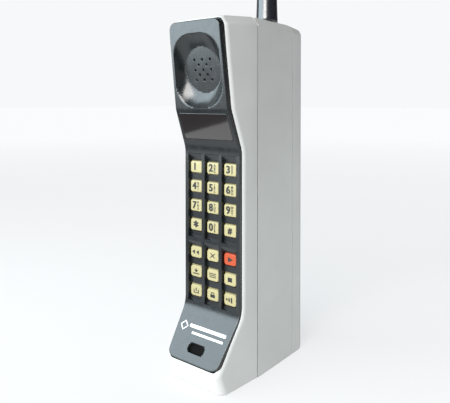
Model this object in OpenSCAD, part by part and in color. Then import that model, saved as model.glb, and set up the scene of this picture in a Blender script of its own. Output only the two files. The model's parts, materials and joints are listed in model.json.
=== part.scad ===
// Early mobile brick phone: a grey two-shell body with a dark face panel, sprung keys,
// a clip-on battery pack behind and a screw-in rubber antenna on top.
// Frame: +Z up, -Y is the face, origin at the middle of the base. Millimetres.

/* [Body] */
// Width of the body behind the first seam
body_w = 44.8; // [44:0.1:47]
// Height of the highest line of the roof
roof_z = 206.6; // [206:0.1:210]
// Wall thickness of the grey shells
wall = 1.8; // [1.5:0.1:2.2]
// Depth of the join between front and middle housing, from the origin
seam_front_y = -8.75; // [-9:0.05:-8]
// Depth of the join between middle housing and battery pack
seam_back_y = 28.1; // [27.5:0.1:28.5]
// Depth of the back face
back_y = 41.3; // [41:0.1:44]

/* [Keys] */
// Column pitch of the keys
key_pitch_x = 12.7; // [12.6:0.1:13]
// Row pitch of the keys
key_pitch_z = 11.43; // [11.3:0.01:11.6]
// Width of a key cap
key_w = 9.6; // [9:0.1:9.8]
// Height of a key cap
key_h = 7.3; // [6.8:0.1:7.6]
// How far a key travels when it is pressed
key_travel = 0.9; // [0.5:0.1:0.9]
// Height of the first row's centre above the base
first_row_z = 119.75; // [119:0.05:120.5]

/* [Earpiece] */
// Radius of the flat floor of the earpiece dish
dish_floor_r = 12.8; // [12:0.1:13]
// Depth of the earpiece dish
dish_depth = 5.3; // [4.5:0.1:5.5]
// Pitch of the sound holes
sound_pitch = 5.75; // [5:0.05:6]

/* [Antenna] */
// Length of the antenna rod above the roof
antenna_l = 121; // [100:1:130]
// Radius of the antenna's base
antenna_base_r = 6.7; // [6:0.1:7]

/* [Hidden] */
$fn = 48;

// Colours
grey_plastic = [0.74, 0.75, 0.74];
charcoal = [0.22, 0.24, 0.26];
cream = [0.93, 0.89, 0.68];
call_red = [0.91, 0.30, 0.15];
board_green = [0.12, 0.36, 0.20];
metal = [0.78, 0.78, 0.80];
brass = [0.80, 0.65, 0.35];
rubber_black = [0.06, 0.06, 0.07];
cell_blue = [0.25, 0.35, 0.50];

// Key table: node name, column, row
KEYS = [["key_1", -1, 0], ["key_2", 0, 0], ["key_3", 1, 0], ["key_4", -1, 1], ["key_5", 0, 1],
  ["key_6", 1, 1], ["key_7", -1, 2], ["key_8", 0, 2], ["key_9", 1, 2], ["key_star", -1, 3],
  ["key_0", 0, 3], ["key_hash", 1, 3], ["key_recall", -1, 4], ["key_clear", 0, 4],
  ["key_send", 1, 4], ["key_store", -1, 5], ["key_function", 0, 5], ["key_end", 1, 5],
  ["key_power", -1, 6], ["key_lock", 0, 6], ["key_volume", 1, 6]];

half_w = body_w / 2;
body_front_y = -41.3;
housing_y = -23.1;

// Face of the panel, as corners of its side view from the foot up: y, z and blend radius
panel_foot = [-41.7, 13.9];
panel_chin = [-23.5, 39.3];
panel_neck = [-23.5, 130.7];
panel_brow = [-32.8, 155.7];
panel_top = [-39.8, 202.8];
panel_t = 3.2;
panel_side_w = 20.45;

// Tilt of each sloping stretch of the face, about X
chin_tilt = -atan((panel_chin[0] - panel_foot[0]) / (panel_chin[1] - panel_foot[1]));
display_tilt = atan((panel_neck[0] - panel_brow[0]) / (panel_brow[1] - panel_neck[1]));
ear_tilt = atan((panel_brow[0] - panel_top[0]) / (panel_top[1] - panel_brow[1]));

dish_z = 175.6;
dish_y = panel_brow[0] - (dish_z - panel_brow[1]) * tan(ear_tilt);
dish_mouth_r = 17;
window_z = 144.1;
window_y = panel_neck[0] - (window_z - panel_neck[1]) * tan(display_tilt);
window_w = 34.6;
window_h = 16;
slot_z = 20.1;
slot_y = panel_foot[0] + (slot_z - panel_foot[1]) * tan(-chin_tilt);

channel_w = 10.5;
channel_depth = 2.1;
group_gap = 4.82;
number_rows = 4;
channel_floor_y = panel_chin[0] + channel_depth;
panel_back_y = panel_chin[0] + panel_t;
key_drop = 0.9;
key_face_y = panel_chin[0] + key_drop;
key_fit = 0.3;
flange_t = 0.8;
flange_w = 0.8;
flange_y = panel_back_y + 0.1;
dome_top_y = flange_y + flange_t + key_travel + 0.1;

antenna_x = 10.5;
antenna_y = 17.1;
stud_r = 3;
running_gap = 0.05;
seam_gap = 0.4;
bush_r = 4;
bush_l = 14;

// Points of the corner a-b-c rounded with radius r, in steps
function unit(v) = v / norm(v);
function arc_points(a, b, c, r, steps) =
  let (u = unit(a - b), w = unit(c - b), half = acos(u * w) / 2)
  let (reach = r / tan(half), middle = b + unit(u + w) * r / sin(half))
  let (start = b + u * reach, finish = b + w * reach)
  let (from = start - middle, to = finish - middle, sweep = 180 - 2 * half)
  let (near = [for (i = [0:steps]) from * sin(sweep * (1 - i / steps))])
  let (far = [for (i = [0:steps]) to * sin(sweep * i / steps)])
  [for (i = [0:steps]) middle + (near[i] + far[i]) / sin(sweep)];

// Outline with its corners rounded; each corner is y, z, radius
function rounded(corners, steps = 6) =
  let (n = len(corners), at = [for (p = corners) [p[0], p[1]]])
  [for (i = [0:n - 1]) each corners[i][2] == 0 ? [at[i]]
    : arc_points(at[(i + n - 1) % n], at[i], at[(i + 1) % n], corners[i][2], steps)];

// Side view outline, carried across the width
module across(outline, w) {
  rotate([90, 0, 90]) linear_extrude(height = w, center = true) polygon(outline);
}

// Front view outline, carried through the depth
module through(outline, y0, y1) {
  translate([0, y1, 0]) rotate([90, 0, 0]) linear_extrude(height = y1 - y0) polygon(outline);
}

// Box between two corners
module block(low, high) {
  translate(low) cube(high - low);
}

// Cylinder along Y from y0 to y1
module rod_y(x, z, y0, y1, r) {
  translate([x, y0, z]) rotate([-90, 0, 0]) cylinder(h = y1 - y0, r = r);
}

// Plan outline of the body: straight behind, narrowing towards the face
module plan(inset, z0, z1) {
  side = half_w - inset;
  corners = [[side, 60], [side, -17.5], [side - 0.45, -22.2], [side - 2.6, -37.5],
    [side - 3.2, -46], [-side + 3.2, -46], [-side + 2.6, -37.5], [-side + 0.45, -22.2],
    [-side, -17.5], [-side, 60]];
  translate([0, 0, z0]) linear_extrude(height = z1 - z0) polygon(corners);
}

// Roof with a slanted edge along each side, tilted about X at the depth y
module roof(inset, y, z, tilt) {
  side = half_w - inset;
  top = -inset;
  edge_drop = 4.8;
  edge_in = 3.9;
  outline = rounded([[-side, -260, 0], [side, -260, 0], [side, top - edge_drop, 1],
    [side - edge_in, top, 1.5], [-side + edge_in, top, 1.5], [-side, top - edge_drop, 1]], 3);
  translate([0, y, z]) rotate([tilt, 0, 0]) through(outline, -60, 60);
}

roof_front_z = 204.5;
roof_rear_z = roof_z - 0.5;
roof_tilt = atan((roof_z - roof_front_z) / 29.6);
middle_roof_tilt = -atan((roof_z - roof_rear_z) / (seam_back_y - seam_front_y));
battery_roof_tilt = -7.9;

// Side view of the front housing; inset moves every wall inwards
module front_body(inset) {
  corners = [[seam_front_y, inset, 0], [-38.25 + inset, inset, 0.5],
    [body_front_y - 0.75 + inset * 1.6, 11.4 + inset * 0.6, inset == 0 ? 2.5 : 0.5],
    [housing_y + inset, 39.4, 16], [housing_y + inset, 131, 14], [-31.2 + inset, 154, 10],
    [-36.4 + inset, 198, 0], [-36.9 + inset, 207, 0], [seam_front_y, 207, 0]];
  intersection() {
    across(rounded(corners), 60);
    plan(inset, 0, 220);
    roof(inset, seam_front_y, roof_z, roof_tilt);
  }
}

// Front view outline of the panel; grow widens it by a clearance
module panel_outline(grow, y0, y1) {
  corner_r = 4.5;
  foot = panel_foot[1] - grow;
  top = panel_top[1] + grow;
  foot_half = 17.9 - corner_r + grow;
  top_half = 18.1 - corner_r + grow;
  translate([0, y1, 0]) rotate([90, 0, 0]) linear_extrude(height = y1 - y0) union() {
    polygon([[-25, foot + corner_r], [25, foot + corner_r], [25, top - corner_r], [-25, top - corner_r]]);
    polygon([[-foot_half, foot], [foot_half, foot], [foot_half, foot + 9], [-foot_half, foot + 9]]);
    polygon([[-top_half, top - 9], [top_half, top - 9], [top_half, top], [-top_half, top]]);
    for (side = [-1, 1]) {
      translate([side * foot_half, foot + corner_r]) circle(r = corner_r);
      translate([side * top_half, top - corner_r]) circle(r = corner_r);
    }
  }
}

// Plan outline of the panel, which narrows with the body
module panel_plan(grow) {
  w = panel_side_w + grow;
  translate([0, 0, -5]) linear_extrude(height = 230)
    polygon([[w + 0.9, -16], [w, -22.6], [w - 2.2, -37.7], [w - 2.8, -46],
      [-w + 2.8, -46], [-w + 2.2, -37.7], [-w, -22.6], [-w - 0.9, -16]]);
}

// Panel plate between its face and a line behind it
module panel_plate(front, back, grow) {
  face = [[panel_foot[0] - 7.2, panel_foot[1] - 10, 0], [panel_chin[0], panel_chin[1], 14],
    [panel_neck[0], panel_neck[1], 14], [panel_brow[0], panel_brow[1], 8],
    [panel_top[0] - 0.6, panel_top[1] + 4, 0]];
  near = [for (p = face) [p[0] + front, p[1], p[2]]];
  far = [for (i = [len(face) - 1:-1:0]) [face[i][0] + back, face[i][1], face[i][2]]];
  intersection() {
    across(rounded(concat(near, far)), 60);
    panel_outline(grow, -60, 0);
    panel_plan(grow);
  }
}

// Place a child on the earpiece slope: the child's -Y points out of the face
module on_ear() {
  translate([0, dish_y, dish_z]) rotate([ear_tilt, 0, 0]) children();
}

// Place a child on the display slope
module on_display() {
  translate([0, window_y, window_z]) rotate([display_tilt, 0, 0]) children();
}

// Place a child on the chin
module on_chin() {
  translate([0, slot_y, slot_z]) rotate([chin_tilt, 0, 0]) children();
}

function key_x(k) = k[1] * key_pitch_x;
function key_z(k) = first_row_z - k[2] * key_pitch_z - (k[2] < number_rows ? 0 : group_gap);

// Stadium across X, cut along Y
module stadium(w, h, y0, y1) {
  block([-(w - h) / 2, y0, -h / 2], [(w - h) / 2, y1, h / 2]);
  for (side = [-1, 1]) rod_y(side * (w - h) / 2, 0, y0, y1, h / 2);
}

module front_housing() {
  color(grey_plastic) {
    difference() {
      front_body(0);
      difference() {
        front_body(wall);
        panel_ledge();
      }
      block([-60, seam_front_y - 0.01, -5], [60, seam_front_y + 9, 230]);
      panel_plate(-8, panel_t + 0.05, 0.1);
      opening_behind_panel();
      on_chin() rod_y(0, 0, 0, mic_y + 6, boot_r + 0.3);
    }
    for (p = front_bosses) front_boss(p);
  }
}

// Ledge inside the housing that the panel's edge rests on
module panel_ledge() {
  intersection() {
    front_body(0.5);
    panel_plate(panel_t + 0.05, panel_t + 1.6, 0.1);
  }
}

// Way through the ledge to the inside
module opening_behind_panel() {
  intersection() {
    panel_outline(-2, -60, 0);
    panel_plan(-1.8);
  }
}

front_bosses = [[-18.2, 12], [18.2, 12], [-18.2, 194], [18.2, 194]];
screw_head_r = 2.3;

// Screw boss inside the front housing, open towards the seam
module front_boss(p) {
  difference() {
    rod_y(p[0], p[1], seam_front_y - 9, seam_front_y - 0.1, 3);
    rod_y(p[0], p[1], seam_front_y - 8, seam_front_y, 1.25);
  }
}

module middle_housing() {
  color(grey_plastic) {
    difference() {
      middle_body(0, seam_front_y, seam_back_y - seam_gap / 2);
      middle_body(wall, seam_front_y - 1, seam_back_y - seam_gap / 2 - 2);
      for (p = front_bosses) screw_way(p);
      antenna_way();
      contact_way();
      connector_way();
      latch_way();
    }
    for (p = front_bosses) middle_boss(p);
  }
}

// Straight part of the body between two depths
module middle_body(inset, y0, y1) {
  intersection() {
    block([-half_w + inset, y0, inset], [half_w - inset, y1, 220]);
    roof(inset, seam_front_y, roof_z, middle_roof_tilt);
  }
}

// Hole for a housing screw, with a counterbore for its head
module screw_way(p) {
  rod_y(p[0], p[1], seam_back_y - 2.4, seam_back_y, screw_head_r + 0.3);
}

module middle_boss(p) {
  difference() {
    rod_y(p[0], p[1], seam_front_y + 0.1, seam_back_y - 2.3, 3.6);
    rod_y(p[0], p[1], seam_front_y, seam_back_y, 1.7);
    rod_y(p[0], p[1], seam_back_y - 4.1, seam_back_y, screw_head_r + 0.3);
  }
}

module antenna_way() {
  translate([antenna_x, antenna_y, roof_z - 6]) cylinder(h = 10, r = bush_r + 0.2);
}

contact_z = 60;
contact_w = 24;
contact_h = 10;
module contact_way() {
  block([-contact_w / 2, seam_back_y - 3, contact_z - contact_h / 2],
    [contact_w / 2, seam_back_y + 1, contact_z + contact_h / 2]);
}

connector_w = 22;
connector_d = 7;
connector_y = 6;
module connector_way() {
  block([-connector_w / 2, connector_y - connector_d / 2, -1],
    [connector_w / 2, connector_y + connector_d / 2, wall + 1]);
}

tongue_z = 200.5;
tongue_t = 1.4;
latch_travel = 1.5;
// Slot in the rear wall for the latch tongue, low enough for it to be pressed
module latch_way() {
  block([-4.3, seam_back_y - 3, tongue_z - latch_travel - 0.3],
    [4.3, seam_back_y + 1, tongue_z + tongue_t + 0.3]);
}

module housing_screws() {
  color(metal) for (p = front_bosses) {
    rod_y(p[0], p[1], seam_front_y - 7, seam_back_y - 4.1, 1.25);
    difference() {
      rod_y(p[0], p[1], seam_back_y - 4.1, seam_back_y - 1.7, screw_head_r);
      block([p[0] - 0.4, seam_back_y - 2.7, p[1] - 1.8], [p[0] + 0.4, seam_back_y, p[1] + 1.8]);
    }
  }
}

frame_y = seam_front_y + 3;
standoffs = [[-13, 32], [13, 32], [-13, 100], [13, 100], [-13, 170], [13, 170]];
board_gap = 3;
board_t = 1.6;

// Aluminium plate that carries the boards, with open windows and posts
module chassis_frame() {
  color(metal) difference() {
    union() {
      block([-19.5, frame_y, 17], [19.5, frame_y + 1.6, 186]);
      block([-19.5, frame_y, 17], [-18, frame_y + 8, 186]);
      block([18, frame_y, 17], [19.5, frame_y + 8, 186]);
      for (p = standoffs) rod_y(p[0], p[1], frame_y - board_gap, frame_y + 1.6 + board_gap, 2.6);
    }
    for (p = standoffs) rod_y(p[0], p[1], frame_y - board_gap - 1, frame_y + 6, 1.25);
    for (z = [46, 116]) block([-9, frame_y - 1, z], [9, frame_y + 3, z + 40]);
  }
}

logic_back_y = frame_y - board_gap;
module logic_board() {
  color(board_green) difference() {
    block([-18.5, logic_back_y - board_t, 20], [18.5, logic_back_y, 184]);
    for (p = standoffs) rod_y(p[0], p[1], logic_back_y - 3, logic_back_y + 1, 1.35);
  }
}

module logic_chips() {
  color([0.12, 0.12, 0.13]) {
    for (z = [42, 60, 78]) block([-8, logic_back_y - board_t - 2.6, z], [8, logic_back_y - board_t, z + 9]);
    for (z = [112, 130]) block([-12, logic_back_y - board_t - 2.6, z], [2, logic_back_y - board_t, z + 12]);
  }
}

radio_front_y = frame_y + 1.6 + board_gap;
module radio_board() {
  color(board_green) difference() {
    block([-17.5, radio_front_y, 20], [17.5, radio_front_y + board_t, 184]);
    for (p = standoffs) rod_y(p[0], p[1], radio_front_y - 1, radio_front_y + 3, 1.35);
  }
}

// Folded can over the radio circuits, open towards the board
module radio_shield() {
  y0 = radio_front_y + board_t;
  color(metal) difference() {
    block([-16, y0, 108], [16, y0 + 9, 164]);
    block([-15.4, y0 - 1, 108.6], [15.4, y0 + 8.4, 163.4]);
  }
}

module duplexer_filter() {
  y0 = radio_front_y + board_t;
  color(brass) difference() {
    block([-16, y0, 40], [16, y0 + 16, 92]);
    for (z = [50:8:82]) rod_y(0, z, y0 + 13.5, y0 + 17, 1.6);
  }
}

module ringer() {
  color([0.15, 0.15, 0.16]) difference() {
    rod_y(0, 24, radio_front_y + board_t + 0.2, radio_front_y + board_t + 7.2, 9.5);
    rod_y(0, 24, radio_front_y + board_t + 6, radio_front_y + board_t + 8, 1.5);
  }
}

module board_screws() {
  color(metal) for (p = standoffs) {
    rod_y(p[0], p[1], logic_back_y - board_t, logic_back_y + 2.4, 1.25);
    rod_y(p[0], p[1], logic_back_y - board_t - 1.4, logic_back_y - board_t, 2.4);
    rod_y(p[0], p[1], radio_front_y - 2.4, radio_front_y + board_t, 1.25);
    rod_y(p[0], p[1], radio_front_y + board_t, radio_front_y + board_t + 1.4, 2.4);
  }
}

// Flat cable from the key board down to the logic board
module ribbon_cable() {
  y0 = board_y + board_t + 0.05;
  y1 = logic_back_y - board_t - 0.05;
  color([0.75, 0.62, 0.35]) {
    block([-7, y0, 100], [7, y0 + 0.3, 108]);
    block([-7, y0, 99.7], [7, y1, 100]);
    block([-7, y1 - 0.3, 92], [7, y1, 100]);
  }
}

module front_panel() {
  color(charcoal) difference() {
    union() {
      panel_plate(0, panel_t, 0);
      panel_backing();
    }
    on_ear() dish_hollow();
    on_display() window_hollow();
    on_chin() slot_hollow();
    for (column = [-1:1]) key_channel(column);
    for (k = KEYS) key_way(k);
  }
}

// Thicker land behind the earpiece dish
module panel_backing() {
  on_ear() rod_y(0, 0, 1.5, dish_depth + 1.4, dish_floor_r + 2.2);
}

// Flat-floored dish with flared sides and its sound holes
module dish_hollow() {
  rotate([90, 0, 0]) {
    translate([0, 0, -dish_depth]) cylinder(h = dish_depth + 0.01, r1 = dish_floor_r, r2 = dish_mouth_r);
    cylinder(h = 5, r = dish_mouth_r);
  }
  for (x = [-1:1], z = [-1:1]) rod_y(x * sound_pitch, z * sound_pitch, 0, 12, 0.65);
  for (x = [-0.5, 0.5], z = [-0.5, 0.5]) rod_y(x * sound_pitch, z * sound_pitch, 0, 12, 0.65);
}

lens_t = 1.2;
module window_hollow() {
  block([-window_w / 2 - 0.1, -2, -window_h / 2 - 0.1],
    [window_w / 2 + 0.1, lens_t + 0.15, window_h / 2 + 0.1]);
  block([-15, 0, -5], [15, 12, 5]);
}

module slot_hollow() {
  stadium(12, 5.2, -3, 1.8);
  rod_y(0, 0, 0, 12, 1);
}

// Recessed track that the keys of one column stand in, one for each group
module key_channel(column) {
  x = column * key_pitch_x;
  end_gap = 4.4;
  numbers_top = first_row_z + key_h / 2 + end_gap;
  numbers_foot = key_z([0, 0, 3]) - key_h / 2 - 3.6;
  functions_top = key_z([0, 0, 4]) + key_h / 2 + 2.6;
  functions_foot = key_z([0, 0, 6]) - key_h / 2 - 2.4;
  block([x - channel_w / 2, -40, numbers_foot], [x + channel_w / 2, channel_floor_y, numbers_top]);
  block([x - channel_w / 2, -40, functions_foot], [x + channel_w / 2, channel_floor_y, functions_top]);
}

module key_way(k) {
  block([key_x(k) - key_w / 2 - key_fit, -40, key_z(k) - key_h / 2 - key_fit],
    [key_x(k) + key_w / 2 + key_fit, 0, key_z(k) + key_h / 2 + key_fit]);
}

// Key cap with rounded corners on a wider retaining flange
module key(k) {
  corner_r = k[2] < number_rows ? 1 : 1.7;
  color(k[0] == "key_send" ? call_red : cream) translate([key_x(k), 0, key_z(k)]) {
    rounded_bar(key_w, key_h, corner_r, key_face_y, flange_y + flange_t);
    block([-key_w / 2 - flange_w, flange_y, -key_h / 2 - flange_w],
      [key_w / 2 + flange_w, flange_y + flange_t, key_h / 2 + flange_w]);
  }
}

// Bar along Y with round corners
module rounded_bar(w, h, r, y0, y1) {
  translate([0, y1, 0]) rotate([90, 0, 0]) linear_extrude(height = y1 - y0) union() {
    square([w - 2 * r, h], center = true);
    square([w, h - 2 * r], center = true);
    for (x = [-1, 1], z = [-1, 1]) translate([x * (w / 2 - r), z * (h / 2 - r)]) circle(r = r);
  }
}

module display_lens() {
  color([0.2, 0.12, 0.1, 0.8]) on_display()
    rounded_bar(window_w, window_h, 1, 0.1, 0.1 + lens_t);
}

module display_board() {
  color(board_green) on_display() block([-16.5, 10.4, -7.5], [16.5, 11.6, 7.5]);
}

// Row of eight small digit blocks on the display board
module digit_modules() {
  color([0.45, 0.05, 0.05]) on_display() for (i = [-3.5:3.5])
    block([i * 3.6 - 1.65, 7.2, -3.5], [i * 3.6 + 1.65, 10.4, 3.5]);
}

module earpiece_speaker() {
  y0 = dish_depth + 2;
  color(metal) on_ear() union() {
    rod_y(0, 0, y0, y0 + 2.5, 12);
    rod_y(0, 0, y0 + 2.4, y0 + 6, 7.5);
  }
}

// Ring that holds the speaker against the back of the dish
module speaker_gasket() {
  y0 = dish_depth + 1.45;
  color(rubber_black) on_ear() difference() {
    rod_y(0, 0, y0, y0 + 3.2, 14.2);
    rod_y(0, 0, y0 + 0.5, y0 + 4, 12.1);
    rod_y(0, 0, y0 - 1, y0 + 4, 10.4);
  }
}

mic_y = panel_t + 0.9;
boot_r = 6.3;
module microphone() {
  color(metal) on_chin() rod_y(0, 0, mic_y, mic_y + 5, 4.8);
}

module microphone_boot() {
  color(rubber_black) on_chin() difference() {
    rod_y(0, 0, panel_t + 0.05, mic_y + 4.2, boot_r);
    rod_y(0, 0, mic_y - 0.05, mic_y + 6, 4.85);
    rod_y(0, 0, 0, mic_y + 6, 1.6);
  }
}

board_y = dome_top_y + 1.7;

// Rubber sheet with one low dome for each key, drawn at its pressed height
module key_dome_sheet() {
  color([0.55, 0.55, 0.55]) union() {
    block([-18.2, dome_top_y + 0.7, 41], [18.2, board_y - 0.05, 127]);
    for (k = KEYS) rod_y(key_x(k), key_z(k), dome_top_y, dome_top_y + 0.8, 2.6);
  }
}

module key_board() {
  color(board_green) block([-18.4, board_y, 40.5], [18.4, board_y + board_t, 128]);
}

// Brass bush for the antenna, with a flange under the roof
module antenna_socket() {
  foot_z = roof_z - 0.6 - bush_l;
  color(brass) translate([antenna_x, antenna_y, foot_z]) difference() {
    union() {
      cylinder(h = bush_l, r = bush_r);
      translate([0, 0, bush_l - 5]) cylinder(h = 2.9, r = 6);
    }
    translate([0, 0, 1.5]) cylinder(h = 20, r = stud_r + running_gap);
  }
}

// Tapered rubber rod with a rounded tip, standing just clear of the roof
module antenna_whip() {
  foot_z = roof_z + 0.1;
  tip_r = 4.4;
  neck_r = 6.05;
  neck_h = 14;
  waist_r = 5.3;
  waist_h = 50;
  color(rubber_black) translate([antenna_x, antenna_y, foot_z]) difference() {
    union() {
      rotate_extrude($fn = 64) polygon([[0, 0], [antenna_base_r, 0], [antenna_base_r, 3],
        [neck_r, neck_h], [waist_r, waist_h], [tip_r, antenna_l - tip_r], [0, antenna_l - tip_r]]);
      translate([0, 0, antenna_l - tip_r]) sphere(r = tip_r, $fn = 64);
    }
    translate([0, 0, -1]) cylinder(h = 11, r = 1.8);
  }
}

// Metal stud: a shank in the socket and a pin moulded into the rod
module antenna_stud() {
  z0 = roof_z - 0.6 - 11.5;
  color(brass) translate([antenna_x, antenna_y, z0]) union() {
    cylinder(h = 12.15, r = stud_r);
    cylinder(h = 21, r = 1.78);
  }
}

contact_step = 7;
module contact_block() {
  color(rubber_black) difference() {
    block([-contact_w / 2 + 0.1, seam_back_y - 6, contact_z - contact_h / 2 + 0.1],
      [contact_w / 2 - 0.1, seam_back_y - 0.8, contact_z + contact_h / 2 - 0.1]);
    for (i = [-1:1]) rod_y(i * contact_step, contact_z, seam_back_y - 7, seam_back_y, 1.3);
  }
}

module contact_springs() {
  color(brass) for (i = [-1:1]) rod_y(i * contact_step, contact_z, seam_back_y - 6, seam_back_y - 0.1, 1.25);
}

// Edge connector in the foot: shallow tray with flat pins
module accessory_connector() {
  color(rubber_black) translate([0, connector_y, 0]) difference() {
    block([-connector_w / 2 + 0.1, -connector_d / 2 + 0.1, 0.4],
      [connector_w / 2 - 0.1, connector_d / 2 - 0.1, 6]);
    block([-connector_w / 2 + 1.5, -connector_d / 2 + 1.5, -1],
      [connector_w / 2 - 1.5, connector_d / 2 - 1.5, 3]);
  }
  color(brass) for (i = [-4:4])
    block([i * 2 - 0.4, connector_y - 0.6, 2.9], [i * 2 + 0.4, connector_y + 0.6, 3.05]);
}

battery_y = seam_back_y + seam_gap / 2;
foot_cut = 6;
rear_r = 4.7;

// Outside of the battery pack, with rounded upper edge and a slanted foot
module battery_body(inset) {
  top = 206 - inset;
  corners = [[battery_y, inset, 0], [back_y - inset - 4.5, inset, 0.6],
    [back_y - inset, foot_cut + inset * 0.4, 0.6], [back_y - inset, top - 1.4, inset == 0 ? 3.5 : 2],
    [battery_y, top + 3, 0]];
  intersection() {
    across(rounded(corners), 60);
    battery_plan(inset);
    roof(inset, seam_back_y, roof_rear_z, battery_roof_tilt);
  }
}

// Plan outline of the pack, with its rear edges rounded
module battery_plan(inset) {
  side = half_w - inset;
  corners = [[-side, battery_y - 1, 0], [side, battery_y - 1, 0],
    [side, back_y - inset, rear_r - inset], [-side, back_y - inset, rear_r - inset]];
  translate([0, 0, -1]) linear_extrude(height = 231) polygon(rounded(corners));
}

module battery_case() {
  color(grey_plastic) difference() {
    battery_body(0);
    difference() {
      battery_body(wall);
      block([-30, 0, 196.4], [30, 60, 230]);
    }
    block([-18.6, battery_y - 1, 3.4], [18.6, battery_y + 1.55, 196]);
    latch_pocket();
  }
}

// Inner lid of the pack, let into the case
module battery_cover() {
  color([0.35, 0.36, 0.37]) difference() {
    block([-18.5, battery_y, 3.5], [18.5, battery_y + 1.5, 195.9]);
    for (i = [-1:1]) block([i * contact_step - 2.1, battery_y - 1, contact_z - 3.1],
      [i * contact_step + 2.1, battery_y + 3, contact_z + 3.1]);
  }
}

module battery_contacts() {
  color(brass) for (i = [-1:1]) block([i * contact_step - 2, battery_y + 0.1, contact_z - 3],
    [i * contact_step + 2, battery_y + 1.5, contact_z + 3]);
}

cell_r = 4.8;
cell_l = 44;
cell_step = 46;
cell_y = battery_y + 1.6 + cell_r;
cell_foot_z = 8;

// Twelve round cells in three columns, each with its button end
module battery_cells() {
  color(cell_blue) for (x = [-1:1], i = [0:3])
    translate([x * 12, cell_y, cell_foot_z + i * cell_step]) {
      cylinder(h = cell_l - 1, r = cell_r);
      translate([0, 0, cell_l - 1]) cylinder(h = 1, r = 1.8);
    }
}

// Thin welded strips between the rows of cells
module cell_links() {
  color(metal) for (i = [1:3])
    block([-14, cell_y - 2.5, cell_foot_z + i * cell_step - cell_step + cell_l + 0.9],
      [14, cell_y + 2.5, cell_foot_z + i * cell_step - 0.9]);
}

pocket_l = 10;
module latch_pocket() {
  block([-5.3, battery_y - 1, tongue_z - latch_travel - 0.6], [5.3, battery_y + pocket_l, 230]);
}

// Press-down release at the top of the pack: a ribbed thumb pad, and a tongue whose barb
// stands up behind the rear wall of the middle housing
module battery_latch() {
  pad_y = battery_y + 0.3;
  pad_top = tongue_z + 3.3;
  rib_step = 1.8;
  barb_y = seam_back_y - 3.6;
  color(rubber_black) difference() {
    union() {
      block([-5, pad_y, tongue_z - 0.2], [5, battery_y + pocket_l - 0.3, pad_top]);
      block([-4, barb_y, tongue_z], [4, pad_y + 0.1, tongue_z + tongue_t]);
      block([-4, barb_y, tongue_z], [4, barb_y + 1.3, tongue_z + 2.7]);
    }
    for (i = [1:4])
      block([-6, pad_y + i * rib_step - 0.3, pad_top - 0.4], [6, pad_y + i * rib_step + 0.3, pad_top + 1]);
  }
}

front_housing();
middle_housing();
chassis_frame();
housing_screws();
board_screws();
front_panel();
display_lens();
display_board();
digit_modules();
earpiece_speaker();
speaker_gasket();
microphone();
microphone_boot();
key_board();
key_dome_sheet();
logic_board();
logic_chips();
radio_board();
radio_shield();
duplexer_filter();
ringer();
ribbon_cable();
antenna_socket();
contact_springs();
contact_block();
accessory_connector();
for (k = KEYS) {
  key(k);
}
battery_case();
battery_cover();
battery_cells();
cell_links();
battery_contacts();
battery_latch();
antenna_whip();
antenna_stud();
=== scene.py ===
"""Looks of an early mobile brick phone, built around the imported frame.

Shapes are worked out in millimetres, and finish_mesh turns them into metres.
"""
import bisect
import json
import math

import bmesh
import bpy
from mathutils import Matrix, Vector


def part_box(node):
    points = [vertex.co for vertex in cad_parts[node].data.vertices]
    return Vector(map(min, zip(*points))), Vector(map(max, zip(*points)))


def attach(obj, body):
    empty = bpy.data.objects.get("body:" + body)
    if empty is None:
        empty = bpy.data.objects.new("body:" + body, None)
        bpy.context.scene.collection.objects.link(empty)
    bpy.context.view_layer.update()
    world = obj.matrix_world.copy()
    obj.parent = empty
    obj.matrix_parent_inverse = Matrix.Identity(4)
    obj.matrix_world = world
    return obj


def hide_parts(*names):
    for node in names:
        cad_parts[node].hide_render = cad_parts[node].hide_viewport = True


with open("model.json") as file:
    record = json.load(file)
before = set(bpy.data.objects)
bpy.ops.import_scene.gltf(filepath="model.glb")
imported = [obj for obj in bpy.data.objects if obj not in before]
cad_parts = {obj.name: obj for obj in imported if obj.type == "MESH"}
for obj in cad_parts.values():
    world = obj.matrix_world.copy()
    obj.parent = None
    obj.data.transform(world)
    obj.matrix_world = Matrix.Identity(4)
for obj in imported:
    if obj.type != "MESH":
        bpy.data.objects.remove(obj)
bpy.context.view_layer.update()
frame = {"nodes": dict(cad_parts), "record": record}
CAD_NODES = frame["nodes"]
RECORD = frame["record"]

MM = 0.001


def box_mm(node):
    """Lowest and highest corner of a CAD node, in millimetres."""
    low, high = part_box(node)
    return low / MM, high / MM


# ---------------------------------------------------------------- outlines

def arc_points(a, b, c, radius, steps):
    """Points that round the corner b of the path a-b-c."""
    a, b, c = Vector(a), Vector(b), Vector(c)
    u, w = (a - b).normalized(), (c - b).normalized()
    half = math.acos(max(-1.0, min(1.0, u.dot(w)))) / 2
    middle = b + (u + w).normalized() * radius / math.sin(half)
    first = b + u * radius / math.tan(half) - middle
    last = b + w * radius / math.tan(half) - middle
    sweep = math.pi - 2 * half
    points = []
    for i in range(steps + 1):
        t = i / steps
        mixed = first * math.sin(sweep * (1 - t)) + last * math.sin(sweep * t)
        points.append(tuple(middle + mixed / math.sin(sweep)))
    return points


def rounded_path(corners, steps=10):
    """Open path of (y, z, radius) corners, with the inner ones rounded."""
    path = [corners[0][:2]]
    for before, here, after in zip(corners, corners[1:], corners[2:]):
        path += arc_points(before[:2], here[:2], after[:2], here[2], steps)
    path.append(corners[-1][:2])
    return path


NORMAL_REACH = 0.6


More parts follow.
